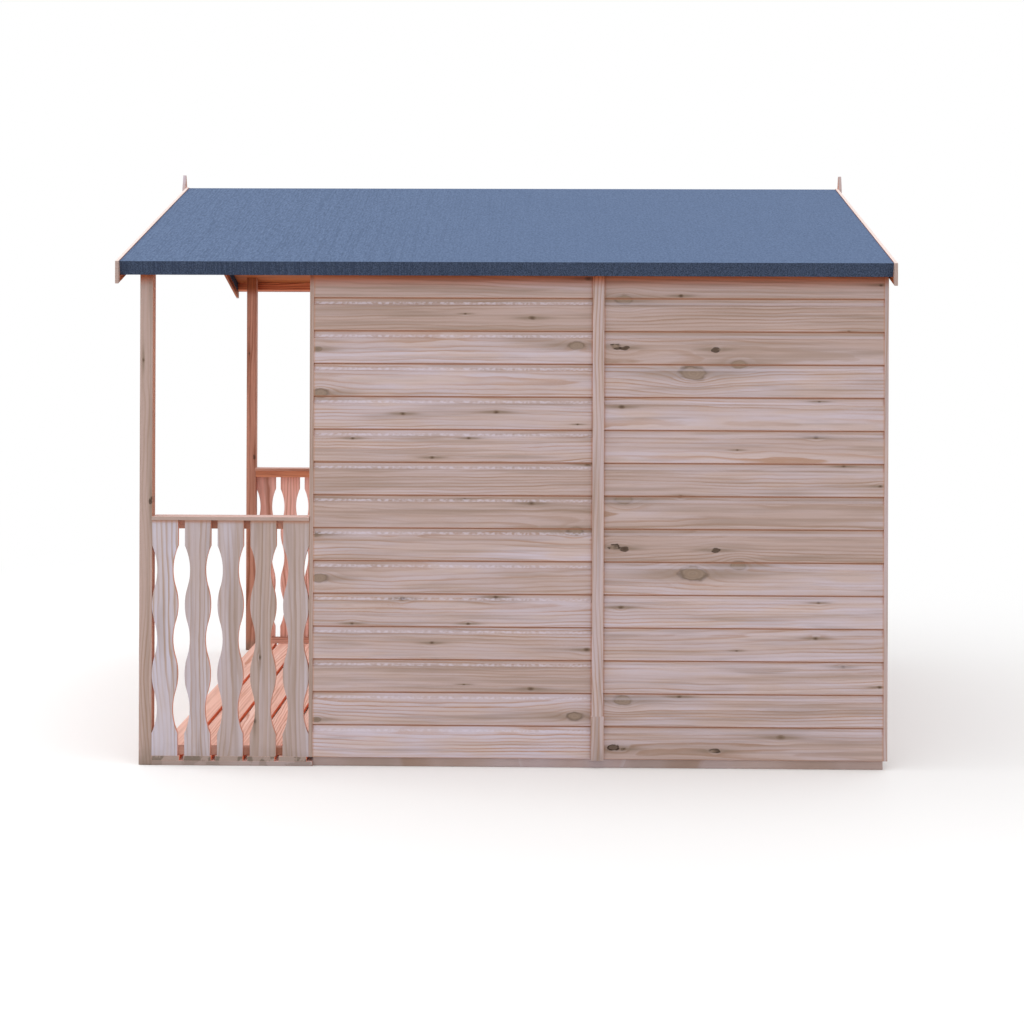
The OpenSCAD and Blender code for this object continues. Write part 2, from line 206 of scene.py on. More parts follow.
# Stage and camera: lens and sensor in millimetres, turns in degrees.
FLOOR_SPAN = 60.0
FLOOR_DROP = 0.0005
FLOOR_PALE = (0.93, 0.93, 0.93, 1.0)
FLOOR_FADE = (2.2, 5.0)
WHITE = (1, 1, 1, 1)
LAMPS = [
    ("high_lamp", Vector((3.0, 1.5, 7.0)), 5.0, 55.0),
    ("front_lamp", Vector((0.6, -7.5, 3.2)), 4.0, 260.0),
]
LAMP_AIM = Vector((0, 0, 1.0))
SENSOR = 36.0
LENS = 58.36
VIEW_SHIFT = -0.172
VIEW_END = 200.0
VIEW_PLACE = Vector((6.885, 0.1198, 1.5111))
VIEW_TURN = 0.949
VIEW_ROLL = 0.206


def colour(*levels):
    """Turns a display colour, 0 to 255, into the linear one that sockets take."""
    levels = [level / 255 for level in levels]
    return (*(v / 12.92 if v <= 0.04045 else ((v + 0.055) / 1.055) ** 2.4 for v in levels), 1.0)


def stain(*tints):
    """Tints of pale, flushed and brown wood, ring lines, streaks, knots and their rims."""
    return [colour(*tint) for tint in tints]


WEATHERED = stain(
    (196, 184, 194), (198, 175, 166), (176, 152, 144), (175, 135, 112),
    (136, 116, 102), (142, 121, 103), (56, 40, 30),
)
BLEACHED = stain(
    (190, 182, 194), (188, 174, 175), (172, 150, 141), (170, 145, 132),
    (138, 117, 104), (146, 125, 110), (56, 40, 30),
)
# Painted warm shade: the tints of faces turned inward, and of rails and framing in shade.
WARM_SHADE = stain(
    (216, 172, 158), (208, 148, 128), (186, 132, 112), (154, 94, 68),
    (134, 82, 60), (130, 86, 66), (70, 40, 28),
)
# Painted warm shade of the balusters' inward faces.
PINK_SHADE = stain(
    (232, 182, 170), (224, 160, 142), (198, 140, 122), (164, 100, 74),
    (140, 88, 66), (130, 86, 66), (70, 40, 28),
)
DECKED = stain(
    (255, 220, 208), (250, 204, 187), (240, 190, 172), (214, 154, 130),
    (196, 134, 110), (176, 122, 94), (105, 62, 40),
)
# Painted warm shade under the roof: the roof boards' underside, the bargeboards' inward faces, and walls
# and members just under the eaves.
ROOF_SHADE = stain(
    (184, 108, 60), (174, 96, 50), (158, 83, 42), (130, 62, 31),
    (112, 53, 27), (103, 51, 27), (64, 31, 16),
)
# Painted warm shade of the eaves rails and the ridge beam.
BEAM_SHADE = stain(
    (232, 146, 104), (222, 130, 88), (202, 113, 75), (168, 85, 53),
    (136, 68, 42), (122, 62, 40), (72, 36, 22),
)
# Painted warm shade of the top rails' inward faces.
RED_SHADE = stain(
    (244, 176, 140), (232, 156, 120), (208, 136, 102), (164, 96, 66),
    (136, 76, 50), (126, 74, 50), (70, 38, 24),
)
# Plain tints that lie over the stains: painted shade in laps, a painted highlight on coves, painted light
# on tops and on faces turned to the cabin, grime and end grain.
LAP_SHADE = colour(176, 127, 101)
COVE_HIGHLIGHT = colour(206, 196, 208)
SUNLIT = colour(246, 211, 202)
GLOW = colour(226, 148, 116)
POST_GLOW = colour(222, 164, 140)
EMBER = colour(255, 138, 96)
GRIME = colour(116, 102, 90)
END_GRAIN = colour(152, 136, 128)
# Painted light on the bargeboards' upper edges.
VERGE_LIGHT = colour(252, 234, 228)
TIMBER_SHEEN = 0.25
# Dark and light tints of the other materials.
GRIT = (colour(79, 97, 128), colour(105, 125, 159))
GRIT_PATCH = colour(93, 112, 143)
GRIT_RIB = colour(77, 95, 125)
DARK_FLECK = colour(64, 80, 107)
PALE_FLECK = colour(118, 138, 170)
# Tints of the felt's turned-down edge: its own colour, darkened with painted shade.
SHADED_FELT_EDGE = (colour(40, 49, 66), colour(72, 83, 104))
FELT_PLEAT = colour(42, 51, 70)
FELT_EDGE_GRIT = colour(55, 68, 94)
GLASS = (colour(236, 242, 241), colour(222, 228, 226))
ENAMEL = (colour(38, 38, 40), colour(74, 70, 68))


# ---- Finishes ----


class Wire:
    """An output socket; sums and products of wires add Math nodes."""

    def __init__(self, paint, socket):
        self.paint = paint
        self.socket = socket

    def __add__(self, other):
        return self.paint.maths("ADD", self, other)

    def __sub__(self, other):
        return self.paint.maths("SUBTRACT", self, other)

    def __rsub__(self, other):
        return self.paint.maths("SUBTRACT", other, self)

    def __mul__(self, other):
        return self.paint.maths("MULTIPLY", self, other)

    def __truediv__(self, other):
        return self.paint.maths("DIVIDE", self, other)

    def __rtruediv__(self, other):
        return self.paint.maths("DIVIDE", other, self)

    def __abs__(self):
        return self.paint.maths("ABSOLUTE", self)

    __radd__ = __add__
    __rmul__ = __mul__

    def smooth(self, low, high):
        """Rises smoothly from 0 to 1 as the wire goes from low to high."""
        ends = {"Value": self, "From Min": low, "From Max": high}
        return self.paint.node("MapRange", {"interpolation_type": "SMOOTHSTEP"}, ends)


class Paint:
    """A material with one surface shader, and the nodes that feed it."""

    def __init__(self, name, **levels):
        self.material = bpy.data.materials.new(name)
        self.material.use_nodes = True
        self.tree = self.material.node_tree
        self.shader = self.tree.nodes["Principled BSDF"]
        # Where a point lies on the building, and which way its face looks.
        self.place = self.node("TexCoord", output="Object")
        self.facing = self.node("TexCoord", output="Normal")
        for level, value in levels.items():
            self.shader.inputs[level.replace("_", " ")].default_value = value

    def feed(self, socket, value):
        """Links a wire to a socket, or sets it to a plain value."""
        if isinstance(value, Wire):
            self.tree.links.new(value.socket, socket)
        else:
            socket.default_value = value

    def node(self, kind, settings=None, inputs=None, output=0):
        """Adds a node, sets it up, feeds its sockets and returns one output."""
        made = self.tree.nodes.new("ShaderNode" + kind)
        for name, value in (settings or {}).items():
            setattr(made, name, value)
        for key, value in (inputs or {}).items():
            self.feed(made.inputs[key], value)
        return Wire(self, made.outputs[output])

    def maths(self, operation, *values):
        return self.node("Math", {"operation": operation}, dict(enumerate(values)))

    def larger(self, first, second):
        return self.maths("MAXIMUM", first, second)

    def parts(self, vector):
        """The three numbers of a vector or colour."""
        split = self.node("SeparateXYZ", inputs={0: vector}).socket.node
        return [Wire(self, socket) for socket in split.outputs]

    def blend(self, share, first, second):
        """The first colour, with a share of the second mixed in."""
        return self.node("Mix", {"data_type": "RGBA"}, {0: share, 6: first, 7: second}, 2)

    def layered(self, tint, layers):
        """A colour with others laid over it, each with its share."""
        for share, layer in layers:
            tint = self.blend(share, tint, layer)
        return tint

    def grain(self, scale, detail, **more):
        """Noise of one size in every direction."""
        feeds = {"Vector": self.place, "Scale": scale, "Detail": detail, **more}
        return self.node("TexNoise", inputs=feeds)

    def noise(self, x, y, z, detail=1.0):
        return self.grain(1.0, detail, Vector=self.node("CombineXYZ", inputs={0: x, 1: y, 2: z}))

    def chances(self, seed):
        """Three chance numbers from 0 to 1, the same for the same seed."""
        return self.parts(self.node("TexWhiteNoise", {"noise_dimensions": "1D"}, {"W": seed}, "Color"))

    def attribute(self, name, output="Fac"):
        return self.node("Attribute", {"attribute_name": name}, output=output)

    def dress(self, tint, roughness, height=None, relief=0.0004):
        """Feeds the shader's colour and roughness, and its relief from a height."""
        self.feed(self.shader.inputs["Base Color"], tint)
        self.feed(self.shader.inputs["Roughness"], roughness)
        if height is not None:
            bump = self.node("Bump", inputs={"Height": height, "Strength": 1.0, "Distance": relief})
            self.feed(self.shader.inputs["Normal"], bump)
        return self.material


class Figure:
    """The figure of one sawn board: rings, streaks, knots and fibres, as shares from 0 to 1.

    Ring is the spacing of its year rings, pith how far the tree's heart lies from its
    edge, and wave how far the rings wander.
    """

    def __init__(self, paint, along, across, depth, luck, tone, knots, ring=0.011, pith=0.075, wave=0.042):
        self.paint = paint
        offset, inset, lean = paint.chances(luck * 97.3)
        far = along + luck * 53.0

        def drift(lengthwise, crosswise, turn, detail=1.0):
            return paint.noise(far * lengthwise, across * crosswise, luck * turn, detail)

        # The trunk's slow bends, and the closer sway of its rings.
        bend = drift(1.1, 3.0, 31.0) - 0.5
        lift = paint.noise(far * 0.8, luck * 17.0, across * 2.0) - 0.5
        sway = drift(5.0, 26.0, 7.0, 2.0) - 0.5
        rough = drift(34.0, 60.0, 5.0, 3.0) - 0.5
        # Year rings: each has its own strength, and darkens towards its late wood.
        out = across + pith - offset * 0.27 + bend * wave
        deep = depth + 0.01 + inset * 0.055 + along * (lean * 0.07 - 0.035) + lift * 0.03
        parting, push = self.grow_knots(along, across, knots, rough, ring)
        out = out - parting
        radius = paint.maths("SQRT", out * out + deep * deep)
        phase = radius / ring + sway * 1.2 + push
        step = paint.maths("FLOOR", phase)
        within = phase - step
        strong, paler, _ = paint.chances(step * 0.618 + luck * 41.0)
        late = within.smooth(0.4, 0.82) * (1 - within.smooth(0.88, 1.0))
        fade = drift(1.5, 11.0, 23.0).smooth(0.34, 0.62)
        self.rings = late * (strong * 0.6 + 0.26) * (fade * 0.9 + 0.35)
        # Broad changes of colour, long streaks and the fibres between them.
        blotch = drift(1.6, 17.0, 9.0, 2.0)
        self.tone = (paler * 0.3 + blotch + tone * 0.85).smooth(0.5, 1.6)
        self.mottle = drift(4.0, 30.0, 3.0, 2.0).smooth(0.38, 0.66) * 0.7
        self.streaks = (drift(1.7, 62.0, 13.0, 3.0) + self.tone * 0.16).smooth(0.58, 0.8) * 0.42
        self.olive = drift(1.9, 26.0, 19.0, 2.0).smooth(0.57, 0.7) * 0.3
        self.fibre = paint.noise(far * 9.0, across * 620.0, depth * 620.0, 2.0)

    def grow_knots(self, along, across, knots, rough, ring):
        """Finds the knots' hearts, rims and shadows, and how they part and crowd the rings."""
        paint = self.paint
        self.heart = self.rim = self.shadow = self.small = self.dead = self.whorl = 0.0
        parting, push = 0.0, 0.0
        for middle, rise, marked_size in knots:
            dead = paint.maths("GREATER_THAN", marked_size, DEAD * 0.5)
            size = marked_size - dead * DEAD
            x = (along - middle) / size
            y = (across - rise) / size * 1.9
            plain = paint.maths("SQRT", x * x + y * y)
            reach = plain + rough * (0.9 + dead * 1.4)
            # The rings part round a knot, and crowd near it.
            near = 1 / (1 + plain * plain * 0.5)
            parting = parting + (across - rise) * near
            push = push + near * size * (0.75 / ring)
            # A large knot has a heart with rings of its own, a rim and a long shadow.
            tiny = 1 - size.smooth(0.012, 0.022)
            heart = 1 - reach.smooth(0.8, 1.0)
            edge = reach.smooth(0.55, 0.85) * (1 - reach.smooth(0.94, 1.22))
            rim = edge * (1 - tiny * 0.7)
            stretch = x * x * 0.05 + y * y * 1.5
            shadow = 1 / (1 + stretch * stretch)
            whorl = paint.maths("PINGPONG", plain + rough * 0.35, 0.17) * 5.0
            self.whorl = paint.larger(heart * whorl * (1 - tiny), self.whorl)
            self.heart = paint.larger(heart, self.heart)
            self.rim = paint.larger(rim, self.rim)
            self.shadow = paint.larger(shadow * (1 + tiny * 0.4), self.shadow)
            # A small knot is one dark pip, and a dead one is black where it has cracked.
            pip = 1 - reach.smooth(0.15, 1.0)
            self.small = paint.larger(pip * tiny, self.small)
            crack = 1 - rough.smooth(-0.02, 0.1)
            self.dead = paint.larger((heart * 0.6 + rim) * dead * crack, self.dead)
        return parting, push

    def stained(self, tints):
        """The colour of the figure in one stain."""
        paint = self.paint
        pale, flush, brown, line, streak, knot, rim = tints
        return paint.layered(pale, [
            (self.mottle, flush),
            (self.tone, brown),
            (self.streaks, streak),
            (self.rings, paint.blend(self.tone * 0.7, line, streak)),
            (self.olive, streak),
            (self.shadow * 0.68, streak),
            (self.heart * 0.74, knot),
            (self.whorl * 0.45, paint.blend(0.25, streak, rim)),
            (self.small, paint.blend(0.85, line, rim)),
            (self.rim * (self.small * 0.4 + self.mottle * 0.4 + 0.12), rim),
            (self.dead, rim),
            (self.fibre.smooth(0.48, 0.72) * 0.16, streak),
        ])

    def height(self):
        """Raised late wood and fine saw marks."""
        return self.rings * 0.35 + self.fibre * 0.5 - self.heart * 0.3


def finish_timber(paint, figure, tints, covers):
    """Stains a figure; each cover is a share, and the stain or colour laid over it."""
    layers = [
        (share, figure.stained(cover) if isinstance(cover, list) else cover) for share, cover in covers
    ]
    tint = paint.layered(figure.stained(tints), layers)
    return paint.dress(tint, figure.fibre * 0.2 + 0.56, figure.height())


def roof_gap(paint):
    """How far a point lies under the roof boards, straight down."""
    x, _, z = paint.parts(paint.place)
    return UNDER_RIDGE - abs(x) * ROOF_SLOPE - z


def shiplap_covers(paint, y, across, dashes):
    """The cove's painted highlight, in dashes or even, and the painted shade at the slot and the foot."""
    # Painted highlight along the cove, broken into dashes or even.
    band = across.smooth(*HIGHLIGHT_FROM) * (1 - across.smooth(*HIGHLIGHT_TO))
    broken = paint.noise(y * 75.0, across * 90.0, 3.0, 3.0).smooth(0.4, 0.6)
    glint = (broken * 0.8 + 0.2) * dashes + (1 - dashes) * 0.45
    shade = paint.larger(across.smooth(*SLOT_SHADE), (1 - across.smooth(*FOOT_SHADE)) * 0.8)
    return [(band * glint * 0.6, COVE_HIGHLIGHT), (shade * 0.9, LAP_SHADE)]


def board_timber(name, tints=WEATHERED, coved=False, under_roof=1.0, dashes=0.0, joints=()):
    """Finish of boards laid by this file, which carry their own grain.

    Under_roof is a share of painted shade under the roof; joints are (y, half width) of strips on the
    boards, beside which painted shade lies.
    """
    paint = Paint(name, Specular_IOR_Level=TIMBER_SHEEN)
    along, across, depth = paint.parts(paint.attribute("place", "Vector"))
    knots = [paint.parts(paint.attribute(f"knot_{n}", "Vector")) for n in range(KNOTS_A_BOARD)]
    luck, tone = paint.attribute("luck"), paint.attribute("tone")
    figure = Figure(paint, along, across, depth, luck, tone, knots)
    _, y, _ = paint.parts(paint.place)
    covers = shiplap_covers(paint, y, across, dashes) if coved else []
    # Painted shade beside the corner strip and the batten.
    for line, reach in joints:
        off = abs(y - line) - reach
        covers.append((0.5 - off.smooth(0.001, 0.008) * 0.5, LAP_SHADE))
    # Painted warm shade under the roof.
    if under_roof:
        fade = roof_gap(paint).smooth(*EAVES_ON_BOARDS)
        covers.append((under_roof - fade * under_roof, ROOF_SHADE))
    return finish_timber(paint, figure, tints, covers)


def side_timber(half, corner, dashes):
    """Finish of half a side wall, shaded beside its corner strip and its batten."""
    low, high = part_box("side_battens")
    batten = ((low.y + high.y) / 2, (high.y - low.y) / 2)
    return board_timber(f"shiplap_{half}_half", coved=True, dashes=dashes, joints=[(corner, 0.0), batten])


def member_figure(
    paint, node, along, across,
    ring=0.008, pith=0.075, wave=0.042, tone=0.5, knots=(), pitch=None, level=None,
):
    """The figure of a whole member, with its grain along one direction.

    A pitch makes it a row of boards, whose tone may be a function of their number.
    Level gives the thickness of a frame's foot and head, which have their grain across.
    """
    low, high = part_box(node)
    x, y, z = paint.parts(paint.place)
    side, end = paint.maths("SIGN", x), paint.maths("SIGN", y)

    def measured(direction):
        ends = {0: paint.place, 1: direction}
        return paint.node("VectorMath", {"operation": "DOT_PRODUCT"}, ends, "Value") - low.dot(direction)

    luck = 0.61 + (sum(map(ord, node)) % 89) * 0.011
    if along is not X:
        luck = luck + side * 0.137
    if along is not Y:
        luck = luck + end * 0.311
    run, rise = measured(along), measured(across)
    if level:
        foot, head = level
        above = paint.maths("GREATER_THAN", z, high.z - head)
        lying = above + paint.maths("LESS_THAN", z, low.z + foot)
        run, rise = run + (rise - run) * lying, rise + (run - rise) * lying
        luck = luck + lying * (0.7 - side * 0.137)
    if pitch:
        index = paint.maths("FLOOR", rise / pitch)
        luck = luck + index * 0.2137
        rise = rise - index * pitch
        knots = [(middle, height - index * pitch, size) for middle, height, size in knots]
        if callable(tone):
            tone = tone(index)
    own_tone, _, _ = paint.chances(luck * 11.7)
    tone = own_tone * 0.3 + tone - 0.15
    inwards = along.cross(across)
    depth = measured(inwards)
    if abs(inwards.x) > 0.9:
        depth = max(-low.x, high.x) - abs(x)
    return Figure(paint, run, rise, depth, luck, tone, knots, ring, pith, wave)


def inward_share(paint, outward, beyond):
    """The share of faces that neither look up nor outward, nor lie beyond a line: these take the painted
    warm shade.
    """
    x, y, _ = paint.parts(paint.place)
    nx, ny, in_light = paint.parts(paint.facing)
    if "x" in outward:
        in_light = paint.larger(in_light, nx * paint.maths("SIGN", x))
    if "y" in outward:
        in_light = paint.larger(in_light, ny * paint.maths("SIGN", y))
    if beyond:
        in_light = paint.larger(in_light, abs(x).smooth(beyond, beyond + 0.01))
    return 1 - in_light.smooth(0.25, 0.75)


def mark_covers(paint, top_edge, ends, glow, shade, grime):
    """Shares of end grain, painted warm light on faces turned to the cabin, painted shade under a rail,
    and grime.
    """
    x, y, z = paint.parts(paint.place)
    nx, ny, _ = paint.parts(paint.facing)
    patches = paint.noise(x * 9.0, y * 24.0, z * 24.0, 3.0)
    covers = []
    if ends:
        sawn = abs(nx).smooth(0.6, 0.9) * ends
        covers.append((sawn, END_GRAIN))
        covers.append((sawn * patches.smooth(0.49, 0.57) * 0.95, GRIME))
    # Painted warm light on faces turned to the cabin.
    if glow:
        share, tint = glow
        covers.append((ny.smooth(0.5, 0.9) * share, tint))
    # Painted shade just below a member's top, where a rail sits over it.
    if shade:
        covers.append((z.smooth(top_edge - 0.015, top_edge - 0.003) * shade, LAP_SHADE))
    if grime:
        foot = 1 - (z - patches * 0.1).smooth(-0.06, 0.05)
        covers.append((foot * grime, GRIME))
    return covers


def member_timber(
    node, along=Z, across=Y, tints=WEATHERED, inner=WARM_SHADE, outward="xyz", beyond=None,
    top=SUNLIT, under_roof=True, ends=None, glow=None, shade=None, grime=None, **grain,
):
    """Finish of a whole member: its outward faces take the first stain, others the inner one, a painted
    warm shade; tops take painted light, and parts under the roof painted shade.
    """
    paint = Paint(node, Specular_IOR_Level=TIMBER_SHEEN)
    figure = member_figure(paint, node, along, across, **grain)
    covers = []
    # Painted warm shade on faces turned inward.
    if inner:
        covers.append((inward_share(paint, outward, beyond), inner))
    # Painted light on faces that look up.
    if top:
        _, _, up = paint.parts(paint.facing)
        covers.append((up.smooth(0.5, 0.9) * 0.75, top))
    # Painted warm shade under the roof.
    if under_roof:
        covers.append((1 - roof_gap(paint).smooth(*EAVES_ON_MEMBERS), ROOF_SHADE))
    covers += mark_covers(paint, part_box(node)[1].z, ends, glow, shade, grime)
    return finish_timber(paint, figure, tints, covers)


def felt_finish(name):
    """Mineral felt: pale blue-grey grit on top, darker where it turns down, partly its own colour and
    partly painted shade.
    """
    paint = Paint(name, Specular_IOR_Level=0.2)
    x, y, z = paint.parts(paint.place)
    _, _, up = paint.parts(paint.facing)
    grit = paint.grain(130.0, 3.0, Roughness=0.8)
    fine = paint.grain(260.0, 2.0, Roughness=0.7)
    patch = paint.grain(5.0, 3.0)
    ribs = paint.noise(x * 2.0, y * 150.0, z * 2.0, 1.0)
    flecks = paint.noise(x * 34.0, y * 140.0, z * 34.0, 2.0)
    pleats = paint.noise(x * 6.0, y * 230.0, z * 6.0, 1.0)
    # The felt is rougher towards the veranda.
    front = 1 - y.smooth(-0.9, 0.5)
    tops = paint.layered(paint.blend(grit.smooth(0.3, 0.7), *GRIT), [
        (patch * 0.25, GRIT_PATCH),
        (ribs.smooth(0.45, 0.7) * (front * 0.34 + 0.1), GRIT_RIB),
        (flecks.smooth(0.54, 0.66) * (front * 0.3 + 0.05), DARK_FLECK),
        (flecks.smooth(0.46, 0.34) * (front * 0.24 + 0.04), PALE_FLECK),
    ])
    # The turned-down edge: its own colour and painted shade.
    edges = paint.layered(paint.blend(fine.smooth(0.38, 0.62), *SHADED_FELT_EDGE), [
        (pleats.smooth(0.45, 0.6) * (front * 0.55 + 0.15), FELT_PLEAT),
        (grit.smooth(0.42, 0.62) * 0.35, FELT_EDGE_GRIT),
    ])
    tint = paint.blend(up.smooth(0.4, 0.8), edges, tops)
    return paint.dress(tint, patch * 0.1 + 0.85, grit * 0.6 + ribs * 0.4, 0.0006)


def glass_finish(name):
    """Clear float glass, with a trace of dust."""
    paint = Paint(name, Transmission_Weight=1.0, IOR=1.45, Specular_IOR_Level=0.5)
    dust = paint.grain(14.0, 3.0)
    tint = paint.blend(dust.smooth(0.35, 0.8), *GLASS)
    return paint.dress(tint, dust.smooth(0.4, 0.9) * 0.06 + 0.01)


def iron_finish(name):
    """Black enamelled iron, slightly worn."""
    paint = Paint(name, Specular_IOR_Level=0.5)
    cast = paint.grain(260.0, 2.0)
    wear = paint.grain(38.0, 4.0)
    tint = paint.blend(wear.smooth(0.52, 0.75), *ENAMEL)
    return paint.dress(tint, wear * 0.25 + 0.38, cast, 0.0003)


# ---- Boards and joinery ----


def add_object(name, data):
    """Puts a new object in the scene."""
    made = bpy.data.objects.new(name, data)
    bpy.context.scene.collection.objects.link(made)
    return made


class Boards:
    """The boards of one piece, each with its own grain, tone and knots."""

    def __init__(self, origin, along, across, out, seed):
        self.origin, self.along, self.across, self.out = origin, along, across, out
        self.chance = random.Random(seed)
        self.mesh = bmesh.new()
        layers = self.mesh.verts.layers
        self.place = layers.float_vector.new("place")
        self.luck = layers.float.new("luck")
        self.tone = layers.float.new("tone")
        self.knots = [layers.float_vector.new(f"knot_{n}") for n in range(KNOTS_A_BOARD)]

    def board(self, outline, start, end, foot=0.0, tone=None, knots=(), luck=None):
        """Runs an outline of (across, out) points from start to end."""
        luck = self.chance.random() if luck is None else luck
        tone = self.chance.random() if tone is None else tone
        knots = (list(knots) + [NO_KNOT] * KNOTS_A_BOARD)[:KNOTS_A_BOARD]
        rings = []
        for a in (start, end):
            ring = []
            for c, o in outline:
                c += foot
                vert = self.mesh.verts.new(self.origin + self.along * a + self.across * c + self.out * o)
                vert[self.place] = (a, c - foot, -o)
                vert[self.luck] = luck
                vert[self.tone] = tone
                for layer, knot in zip(self.knots, knots):
                    vert[layer] = knot
                ring.append(vert)
            rings.append(ring)
        count = len(outline)
        for n in range(count):
            m = (n + 1) % count
            self.mesh.faces.new((rings[0][n], rings[0][m], rings[1][m], rings[1][n]))
        self.mesh.faces.new(rings[0][::-1])
        self.mesh.faces.new(rings[1])

    def cut(self, point, normal):
        """Saws off what lies beyond a plane, and closes the sawn ends."""
        everything = self.mesh.verts[:] + self.mesh.edges[:] + self.mesh.faces[:]
        sawn = bmesh.ops.bisect_plane(
            self.mesh, geom=everything, plane_co=point, plane_no=normal, clear_outer=True
        )
        edges = [item for item in sawn["geom_cut"] if isinstance(item, bmesh.types.BMEdge)]
        bmesh.ops.holes_fill(self.mesh, edges=edges, sides=0)

    def cut_to_roof(self, lean):
        """Saws off what lies above the underside of one slope."""
        self.cut(Z * UNDER_RIDGE, Vector((lean * ROOF_SLOPE, 0, 1)))

    def join(self, mesh):
        """Moves the boards into another mesh."""
        held = bpy.data.meshes.new("held")
        self.mesh.to_mesh(held)
        self.mesh.free()
        mesh.from_mesh(held)
        bpy.data.meshes.remove(held)


def make_piece(name, mesh, material, node=None):
    """Turns a bmesh into a piece that rides on the building."""
    bmesh.ops.recalc_face_normals(mesh, faces=mesh.faces[:])
    for face in mesh.faces:
        face.smooth = True
    for edge in mesh.edges:
        edge.smooth = len(edge.link_faces) == 2 and edge.calc_face_angle(math.pi) < SMOOTH_BELOW
    data = bpy.data.meshes.new(name)
    mesh.to_mesh(data)
    mesh.free()
    data.materials.append(material)
    piece = add_object(name, data)
    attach(piece, "root")
    if node:
        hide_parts(node)
    return piece


def plank(width, thickness, arris=ARRIS):
    """Outline of a plain board with eased edges and its front at 0."""
    return [
        (arris, 0.0), (width - arris, 0.0), (width, -arris), (width, arris - thickness),
        (width - arris, -thickness), (arris, -thickness), (0.0, arris - thickness), (0.0, -arris),
    ]


def shiplap_outline(thickness):
    """Outline of one shiplap board: flat face, cove, rebated edge and slot."""
    cove = BOARD_PITCH - COVE_HEIGHT
    slot = BOARD_PITCH - SLOT_HEIGHT
    points = [(0.0, -thickness), (0.0, -FOOT_ARRIS), (FOOT_ARRIS, 0.0), (cove, 0.0)]
    for step in range(1, COVE_STEPS + 1):
        turn = math.pi / 2 * step / COVE_STEPS
        points.append((cove + COVE_RISE * (1 - math.cos(turn)), -COVE_DEPTH * math.sin(turn)))
    points += [(slot, -COVE_DEPTH), (slot, -SLOT_DEPTH)]
    return points + [(BOARD_PITCH, -SLOT_DEPTH), (BOARD_PITCH, -thickness)]


def knots_of_row(marks, repeat, foot):
    """The knots that touch one row of cladding, from marks repeated up the wall."""
    found = []
    for middle, height, size in marks:
        for turn in range(-3, 3):
            rise = height + turn * repeat - foot
            spill = size % DEAD * 0.4
            if -spill < rise < BOARD_PITCH + spill:
                found.append((middle, rise, size))
    return sorted(found, key=lambda knot: -knot[2])


def random_knots(chance, length, width, density=1.3):
    """A few knots, mostly small; density is their usual number in a metre."""
    count = int(length * density * 2 * chance.random() + 0.5)
    return [
        (chance.uniform(0, length), chance.uniform(0.1, 0.9) * width, chance.choice(RANDOM_KNOTS))
        for _ in range(count)
    ]


def clad_side(side, half, material):
    """Shiplap of half a side wall."""
    node = f"side_panel_{side}_{half}"
    low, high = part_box(node)
    lean = SIDES[side]
    face = high.x if lean > 0 else low.x
    wall = Boards(Vector((face, low.y, low.z)), Y, Z, X * lean, f"{half} boards, {side}")
    outline = shiplap_outline(high.x - low.x)
    marks, repeat, tones = SIDE_BOARDS[half]
    for row in range(math.ceil((high.z - low.z) / BOARD_PITCH)):
        foot = row * BOARD_PITCH
        knots = knots_of_row(marks, repeat, low.z + foot)
        tone = tones[row % len(tones)] + wall.chance.uniform(-TONE_SPREAD, TONE_SPREAD)
        wall.board(outline, 0.0, high.y - low.y, foot, tone, knots)
    wall.cut_to_roof(lean)
    return make_piece(f"shiplap_{side}_{half}", wall.mesh, material, node)


def chance_rows(seed):
    """The luck, tone and knots of every row of boards in a gable wall."""
    chance = random.Random(seed)
    rows = []
    for _ in range(MOST_ROWS):
        knots = random_knots(chance, 2 * WALL_REACH, BOARD_PITCH)
        knots = [(along - WALL_REACH, rise, size) for along, rise, size in knots]
        rows.append((chance.random(), chance.uniform(0.15, 0.9), knots[:KNOTS_A_BOARD]))
    return rows


def clad_end(name, node, out, material, seed, hole=None):
    """Shiplap of a gable wall, round its window; walls of one seed share their rows."""
    low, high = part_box(node)
    spans = [(low.x, high.x, low.z, high.z)]
    if hole:
        start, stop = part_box(hole)
        spans = [(low.x, start.x, low.z, high.z), (stop.x, high.x, low.z, high.z)]
        spans += [(start.x, stop.x, low.z, start.z), (start.x, stop.x, stop.z, high.z)]
    face = high.y if out.y > 0 else low.y
    foot_of_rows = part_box("side_panel_right_front")[0].z
    rows = chance_rows(seed)
    outline = shiplap_outline(high.y - low.y)
    pieces = bmesh.new()
    for left, right, bottom, top in spans:
        wall = Boards(Vector((0.0, face, foot_of_rows)), X, Z, out, name)
        for row, (luck, tone, knots) in enumerate(rows):
            foot = row * BOARD_PITCH
            if bottom < foot_of_rows + foot + BOARD_PITCH and foot_of_rows + foot < top:
                wall.board(outline, left, right, foot, tone, knots, luck)
        if bottom > foot_of_rows:
            wall.cut(Z * bottom, -Z)
        if top < high.z:
            wall.cut(Z * top, Z)
        for lean in SIDES.values():
            if max(right * lean, left * lean) > 0:
                wall.cut_to_roof(lean)
        wall.join(pieces)
    return make_piece(name, pieces, material, node)


def down_slope(lean):
    """The way straight down one slope of the roof."""
    return Vector((lean, 0, -ROOF_SLOPE)).normalized()


